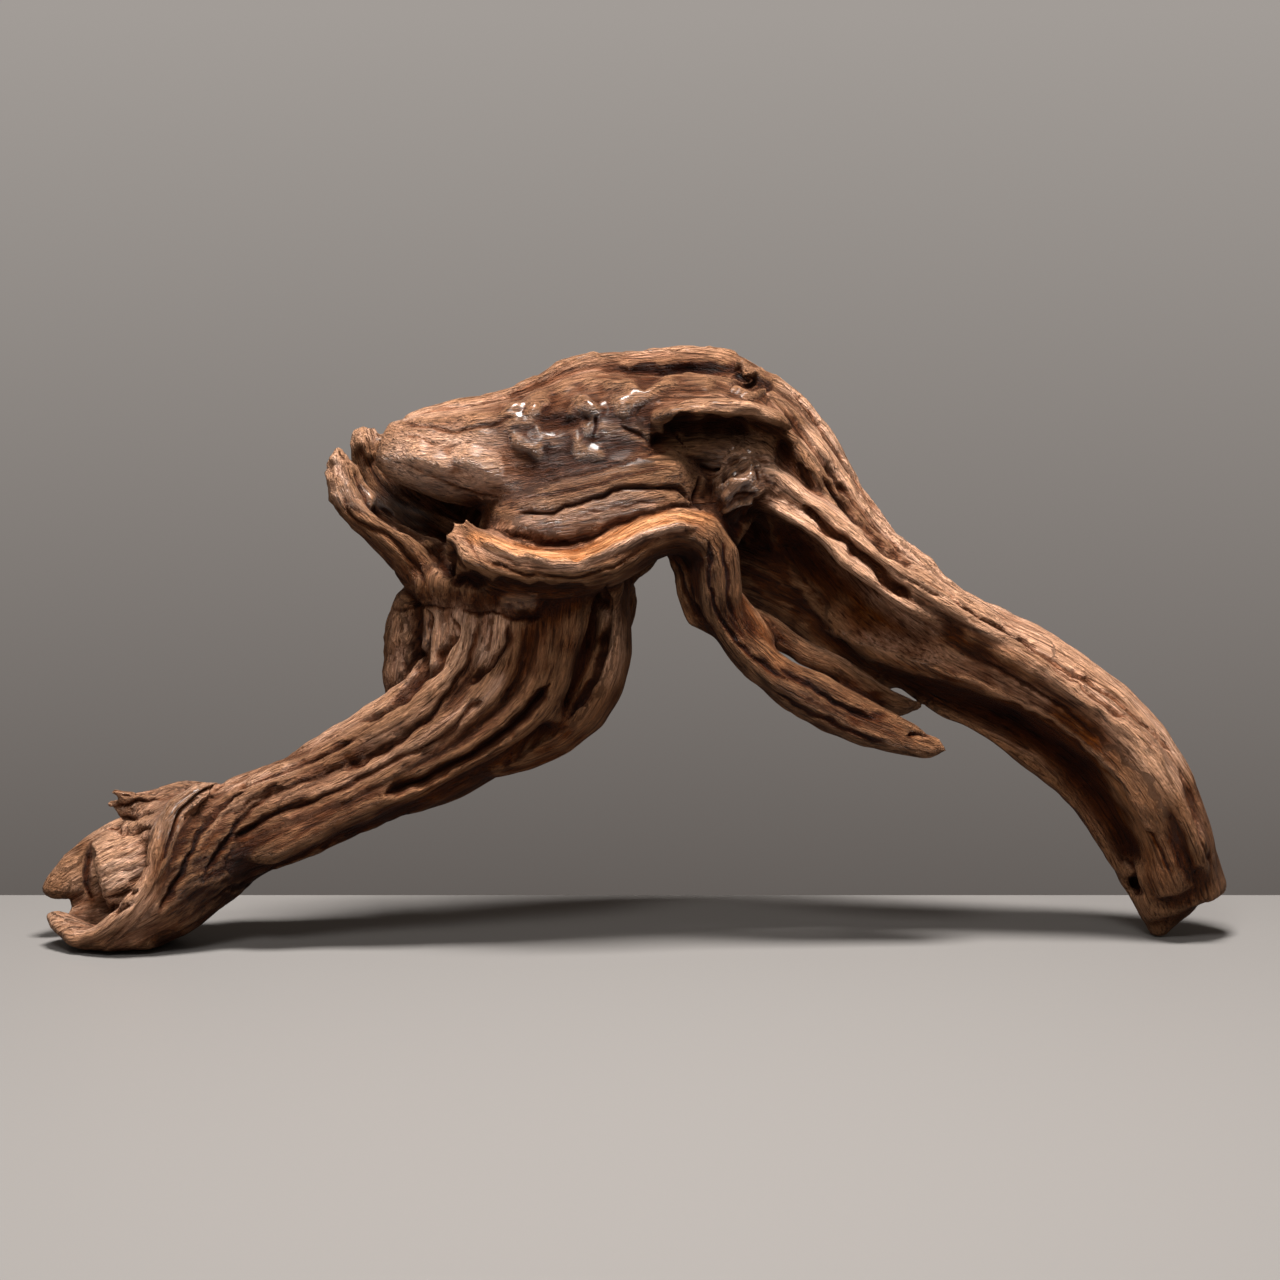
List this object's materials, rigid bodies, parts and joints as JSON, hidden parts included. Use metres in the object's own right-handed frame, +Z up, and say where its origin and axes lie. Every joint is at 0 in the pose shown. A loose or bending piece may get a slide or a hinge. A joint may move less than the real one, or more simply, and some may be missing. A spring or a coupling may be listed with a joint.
{
  "type": "driftwood",
  "caption": "Weathered driftwood root, arched between a hollow scooped foot and a pointed tip, with a broad crown, a forked prong and a hanging tendril.",
  "frame": {"origin": "centre of the bounding box in plan, at the height of the floor that the root stands on", "axes": "+Z up from the floor, +X along the arch from the scooped foot to the pointed tip, -Y towards the side with the shelf and the tendril"},
  "size_m": [0.6006, 0.1206, 0.2974],
  "materials": {
    "weathered_wood": "weathered, water-worn and polished on its high places"
  },
  "bodies": {
    "root": {"driftwood": "weathered_wood"}
  },
  "joints": []
}
